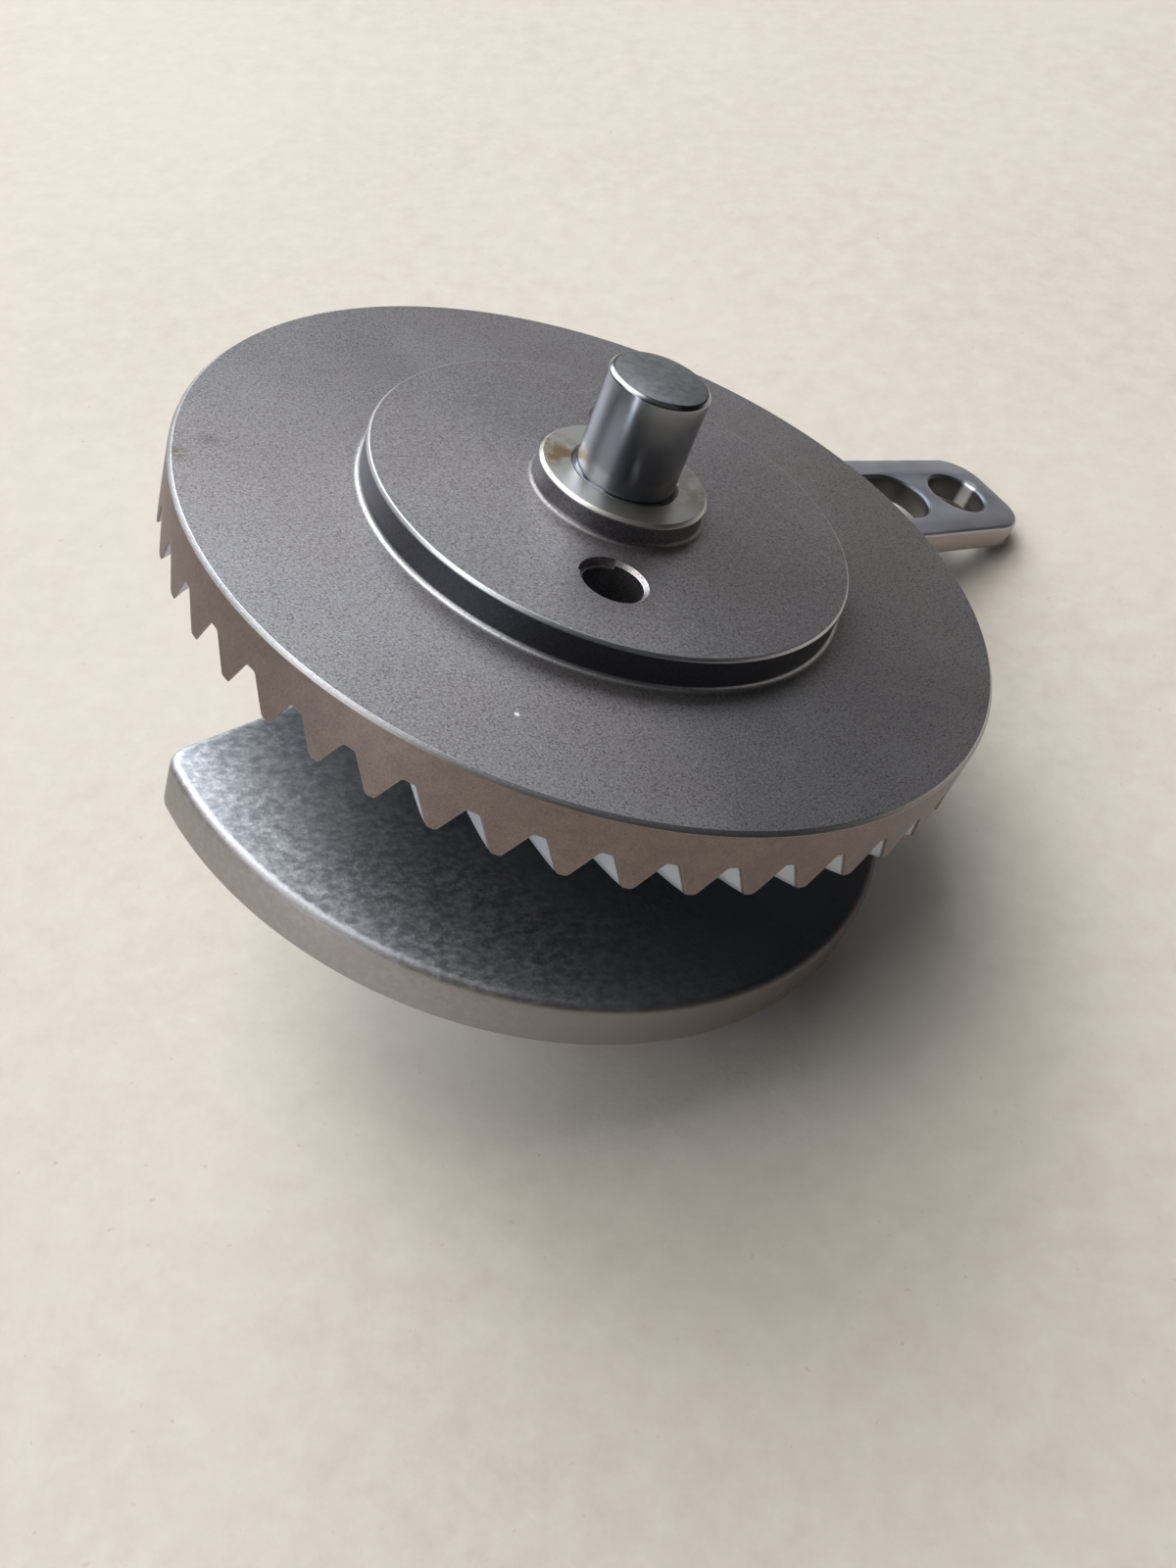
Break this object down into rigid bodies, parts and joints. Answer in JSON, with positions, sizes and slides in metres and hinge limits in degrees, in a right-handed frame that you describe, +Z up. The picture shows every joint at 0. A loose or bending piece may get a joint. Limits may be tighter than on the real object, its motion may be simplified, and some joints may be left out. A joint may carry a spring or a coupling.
{
  "type": "crank drive gear assembly",
  "caption": "Crank drive of a reciprocating saw: spiral-toothed crown gear on an arbor pin, counterweight plate below and a connecting rod on needle rollers between them.",
  "frame": {"origin": "centre of the gear collar's thrust face, on the arbor axis, where the upper bearing seats", "axes": "+Z up the upper arbor, +Y towards the crank pin, +X along the connecting rod at mid stroke"},
  "size_m": [0.1184, 0.08, 0.0568],
  "materials": {
    "gear_steel": "fine blasted, dark grey",
    "pin_steel": "ground and polished",
    "bearing_steel": "ground",
    "spacer_steel": "turned",
    "tumbled_steel": "tumbled, mottled",
    "rod_steel": "satin",
    "cage_steel": "pressed",
    "washer_steel": "ground"
  },
  "bodies": {
    "rotor": {"drive_gear": "gear_steel", "upper_arbor_pin": "pin_steel", "crank_pin": "pin_steel", "bearing_sleeve": "bearing_steel", "plate_spacer": "spacer_steel", "counterweight": "tumbled_steel", "lower_arbor_pin": "pin_steel"},
    "rod": {"connecting_rod": "rod_steel", "needle_bearing_cup": "bearing_steel"},
    "cage": {"needle_cage": "cage_steel"},
    "upper_washer": {"upper_thrust_washer": "washer_steel"},
    "lower_washer": {"lower_thrust_washer": "washer_steel"},
    "roller_01": {"needle_roller_01": "bearing_steel"},
    "roller_02": {"needle_roller_02": "bearing_steel"},
    "roller_03": {"needle_roller_03": "bearing_steel"},
    "roller_04": {"needle_roller_04": "bearing_steel"},
    "roller_05": {"needle_roller_05": "bearing_steel"},
    "roller_06": {"needle_roller_06": "bearing_steel"},
    "roller_07": {"needle_roller_07": "bearing_steel"},
    "roller_08": {"needle_roller_08": "bearing_steel"},
    "roller_09": {"needle_roller_09": "bearing_steel"},
    "roller_10": {"needle_roller_10": "bearing_steel"},
    "roller_11": {"needle_roller_11": "bearing_steel"},
    "roller_12": {"needle_roller_12": "bearing_steel"}
  },
  "joints": [
    {"name": "rod_swing", "type": "hinge", "parent": "rotor", "child": "rod", "pos_m": [0, 0.01588, -0.0196], "axis": [0, 0, 1], "continuous": true},
    {"name": "cage_orbit", "type": "hinge", "parent": "rotor", "child": "cage", "pos_m": [0, 0.01588, -0.0196], "axis": [0, 0, 1], "continuous": true},
    {"name": "upper_washer_spin", "type": "hinge", "parent": "rotor", "child": "upper_washer", "pos_m": [0, 0.01588, -0.013], "axis": [0, 0, 1], "continuous": true},
    {"name": "lower_washer_spin", "type": "hinge", "parent": "rotor", "child": "lower_washer", "pos_m": [0, 0.01588, -0.0262], "axis": [0, 0, 1], "continuous": true},
    {"name": "roller_spin_01", "type": "hinge", "parent": "cage", "child": "roller_01", "pos_m": [0.00787, 0.01588, -0.0196], "axis": [0, 0, 1], "continuous": true},
    {"name": "roller_spin_02", "type": "hinge", "parent": "cage", "child": "roller_02", "pos_m": [0.00682, 0.01981, -0.0196], "axis": [0, 0, 1], "continuous": true},
    {"name": "roller_spin_03", "type": "hinge", "parent": "cage", "child": "roller_03", "pos_m": [0.00394, 0.02269, -0.0196], "axis": [0, 0, 1], "continuous": true},
    {"name": "roller_spin_04", "type": "hinge", "parent": "cage", "child": "roller_04", "pos_m": [0, 0.02374, -0.0196], "axis": [0, 0, 1], "continuous": true},
    {"name": "roller_spin_05", "type": "hinge", "parent": "cage", "child": "roller_05", "pos_m": [-0.00394, 0.02269, -0.0196], "axis": [0, 0, 1], "continuous": true},
    {"name": "roller_spin_06", "type": "hinge", "parent": "cage", "child": "roller_06", "pos_m": [-0.00682, 0.01981, -0.0196], "axis": [0, 0, 1], "continuous": true},
    {"name": "roller_spin_07", "type": "hinge", "parent": "cage", "child": "roller_07", "pos_m": [-0.00787, 0.01588, -0.0196], "axis": [0, 0, 1], "continuous": true},
    {"name": "roller_spin_08", "type": "hinge", "parent": "cage", "child": "roller_08", "pos_m": [-0.00682, 0.01194, -0.0196], "axis": [0, 0, 1], "continuous": true},
    {"name": "roller_spin_09", "type": "hinge", "parent": "cage", "child": "roller_09", "pos_m": [-0.00394, 0.00906, -0.0196], "axis": [0, 0, 1], "continuous": true},
    {"name": "roller_spin_10", "type": "hinge", "parent": "cage", "child": "roller_10", "pos_m": [0, 0.008, -0.0196], "axis": [0, 0, 1], "continuous": true},
    {"name": "roller_spin_11", "type": "hinge", "parent": "cage", "child": "roller_11", "pos_m": [0.00394, 0.00906, -0.0196], "axis": [0, 0, 1], "continuous": true},
    {"name": "roller_spin_12", "type": "hinge", "parent": "cage", "child": "roller_12", "pos_m": [0.00682, 0.01194, -0.0196], "axis": [0, 0, 1], "continuous": true}
  ],
  "couplings": [
    {"joint": "cage_orbit", "follows": "rod_swing", "ratio": 0.59657},
    {"joint": "roller_spin_01", "follows": "rod_swing", "ratio": 2.5255},
    {"joint": "roller_spin_02", "follows": "rod_swing", "ratio": 2.5255},
    {"joint": "roller_spin_03", "follows": "rod_swing", "ratio": 2.5255},
    {"joint": "roller_spin_04", "follows": "rod_swing", "ratio": 2.5255},
    {"joint": "roller_spin_05", "follows": "rod_swing", "ratio": 2.5255},
    {"joint": "roller_spin_06", "follows": "rod_swing", "ratio": 2.5255},
    {"joint": "roller_spin_07", "follows": "rod_swing", "ratio": 2.5255},
    {"joint": "roller_spin_08", "follows": "rod_swing", "ratio": 2.5255},
    {"joint": "roller_spin_09", "follows": "rod_swing", "ratio": 2.5255},
    {"joint": "roller_spin_10", "follows": "rod_swing", "ratio": 2.5255},
    {"joint": "roller_spin_11", "follows": "rod_swing", "ratio": 2.5255},
    {"joint": "roller_spin_12", "follows": "rod_swing", "ratio": 2.5255}
  ]
}
